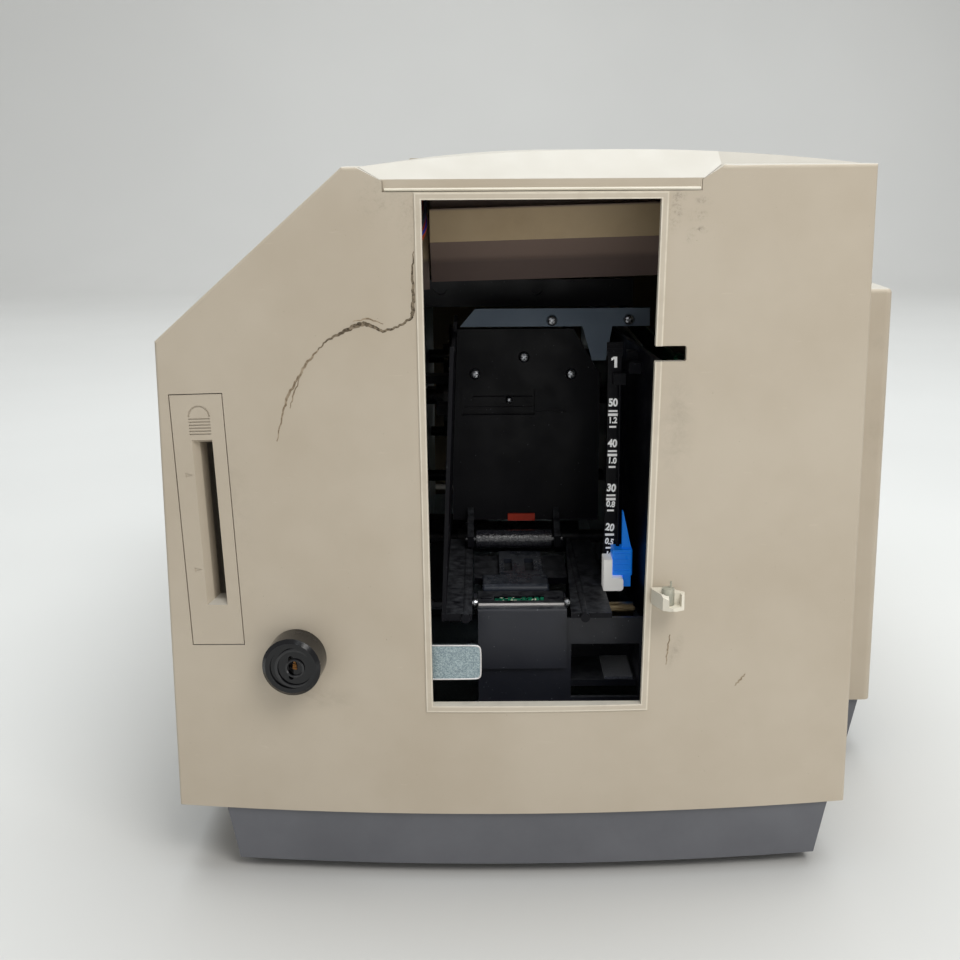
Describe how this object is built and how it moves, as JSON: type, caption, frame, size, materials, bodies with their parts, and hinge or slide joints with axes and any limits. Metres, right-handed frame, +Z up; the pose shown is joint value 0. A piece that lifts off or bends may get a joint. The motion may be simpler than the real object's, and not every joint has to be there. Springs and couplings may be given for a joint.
{
  "type": "plastic card printer",
  "caption": "Desktop plastic card printer with an open card hopper, thickness slider, single card slot, cam lock, hinged arched cover and rear power box.",
  "frame": {"origin": "centre of the footprint on the surface that the feet stand on", "axes": "+Z up; the card input end faces -Y; the operator side is -X"},
  "size_m": [0.2752, 0.53, 0.256],
  "materials": {
    "shell_beige": "fine matte texture",
    "base_grey": "satin texture",
    "black_plastic": "satin",
    "slate_plastic": "semi-gloss",
    "slate_metal": "satin paint",
    "galvanised": "spangled zinc",
    "steel": "bright",
    "bronze": "oiled bronze",
    "rubber_black": "matte",
    "roller_rubber": "glossy",
    "blue_plastic": "moulded",
    "white_plastic": "moulded",
    "lock_black": "glossy enamel",
    "pcb_green": "solder mask",
    "orange_plastic": "moulded",
    "felt_grey": "felt",
    "translucent": "clouded plastic",
    "display": "tinted window",
    "led": "lens",
    "button_grey": "moulded",
    "wire": "wire sleeves",
    "ribbon": "dye ribbon film",
    "motor_metal": "black and steel",
    "board_parts": "populated board"
  },
  "bodies": {
    "housing": {"base_tray": "base_grey", "rubber_feet": "rubber_black", "input_end_panel": "shell_beige", "slot_insert": "shell_beige", "lock_barrel": "lock_black", "door_hinge_ear": "shell_beige", "door_hinge_pin": "translucent", "front_shell": "shell_beige", "display_window": "display", "status_lights": "led", "rear_shell": "shell_beige", "rear_box": "shell_beige", "power_inlet": "black_plastic", "data_ports": "steel", "output_end_panel": "shell_beige", "output_tray": "base_grey", "hopper_back_plate": "black_plastic", "card_gate": "orange_plastic", "hopper_flange": "slate_metal", "cross_beam": "black_plastic", "hopper_guide_left": "black_plastic", "hopper_guide_right": "black_plastic", "feeder_floor": "black_plastic", "pressure_plate": "slate_plastic", "sensor_plate": "black_plastic", "sensor_board": "pcb_green", "feeder_front_cover": "black_plastic", "shelf_pad": "felt_grey", "latch_bracket": "galvanised", "thickness_scale": "black_plastic", "slide_rail": "motor_metal", "pivot_shaft": "bronze", "hopper_screws": "steel", "chassis": "galvanised", "drive_motor": "motor_metal", "drive_belt": "rubber_black", "main_board": "board_parts", "power_supply": "board_parts"},
    "top_cover": {"top_cover": "shell_beige", "cover_liner": "shell_beige", "cover_harness": "wire"},
    "lock_plug": {"lock_plug": "lock_black", "lock_cam": "steel"},
    "button_select": {"button_select": "button_grey"},
    "button_feed": {"button_feed": "button_grey"},
    "rocker_switch": {"rocker_switch": "black_plastic"},
    "output_flap": {"output_flap": "base_grey"},
    "thickness_slider": {"thickness_slider": "blue_plastic", "slider_foot": "white_plastic"},
    "cleaning_roller": {"cleaning_roller": "roller_rubber"},
    "pick_roller": {"pick_roller": "roller_rubber"},
    "entry_roller": {"entry_roller": "roller_rubber"},
    "platen_roller": {"platen_roller": "roller_rubber"},
    "exit_roller": {"exit_roller": "roller_rubber"},
    "motor_pulley": {"motor_pulley": "steel"},
    "print_head": {"print_head_arm": "slate_metal", "print_head": "steel"},
    "supply_spool": {"supply_spool": "ribbon"},
    "takeup_spool": {"takeup_spool": "ribbon"}
  },
  "joints": [
    {"name": "cover_hinge", "type": "hinge", "parent": "housing", "child": "top_cover", "pos_m": [0.0954, 0, 0.244], "axis": [0, 1, 0], "range_deg": [0, 75]},
    {"name": "lock_turn", "type": "hinge", "parent": "housing", "child": "lock_plug", "pos_m": [-0.0923, -0.25101, 0.0842], "axis": [0.0959, 0.9954, 0], "range_deg": [0, 90]},
    {"name": "select_press", "type": "slide", "parent": "housing", "child": "button_select", "axis": [0.6593, 0, -0.7519], "range_m": [0, 0.0012], "stiffness_N_per_m": 400},
    {"name": "feed_press", "type": "slide", "parent": "housing", "child": "button_feed", "axis": [0.6593, 0, -0.7519], "range_m": [0, 0.0012], "stiffness_N_per_m": 400},
    {"name": "power_rock", "type": "hinge", "parent": "housing", "child": "rocker_switch", "pos_m": [0.1324, 0.078, 0.05], "axis": [0, 1, 0], "range_deg": [0, 14]},
    {"name": "output_flap_hinge", "type": "hinge", "parent": "housing", "child": "output_flap", "pos_m": [0, 0.2464, 0.1264], "axis": [1, 0, 0], "range_deg": [0, 60]},
    {"name": "thickness_slide", "type": "slide", "parent": "housing", "child": "thickness_slider", "axis": [0, 0, 1], "range_m": [0, 0.055]},
    {"name": "cleaning_roller_spin", "type": "hinge", "parent": "housing", "child": "cleaning_roller", "pos_m": [0, -0.147, 0.0977], "axis": [1, 0, 0], "continuous": true},
    {"name": "motor_spin", "type": "hinge", "parent": "housing", "child": "motor_pulley", "pos_m": [-0.06, -0.03, 0.052], "axis": [1, 0, 0], "continuous": true},
    {"name": "pick_roller_spin", "type": "hinge", "parent": "housing", "child": "pick_roller", "pos_m": [0, -0.205, 0.088], "axis": [1, 0, 0], "continuous": true},
    {"name": "entry_roller_spin", "type": "hinge", "parent": "housing", "child": "entry_roller", "pos_m": [0, -0.1, 0.086], "axis": [1, 0, 0], "continuous": true},
    {"name": "platen_roller_spin", "type": "hinge", "parent": "housing", "child": "platen_roller", "pos_m": [0, 0.04, 0.0828], "axis": [1, 0, 0], "continuous": true},
    {"name": "exit_roller_spin", "type": "hinge", "parent": "housing", "child": "exit_roller", "pos_m": [0, 0.15, 0.086], "axis": [1, 0, 0], "continuous": true},
    {"name": "head_lift", "type": "hinge", "parent": "housing", "child": "print_head", "pos_m": [0, 0.096, 0.12], "axis": [-1, 0, 0], "range_deg": [0, 12]},
    {"name": "supply_spool_spin", "type": "hinge", "parent": "housing", "child": "supply_spool", "pos_m": [0, -0.015, 0.136], "axis": [1, 0, 0], "continuous": true},
    {"name": "takeup_spool_spin", "type": "hinge", "parent": "housing", "child": "takeup_spool", "pos_m": [0, 0.128, 0.136], "axis": [1, 0, 0], "continuous": true}
  ],
  "couplings": [
    {"joint": "motor_spin", "follows": "platen_roller_spin", "ratio": 2},
    {"joint": "pick_roller_spin", "follows": "platen_roller_spin", "ratio": 2},
    {"joint": "entry_roller_spin", "follows": "platen_roller_spin", "ratio": 1.5},
    {"joint": "exit_roller_spin", "follows": "platen_roller_spin", "ratio": 1.3333}
  ]
}
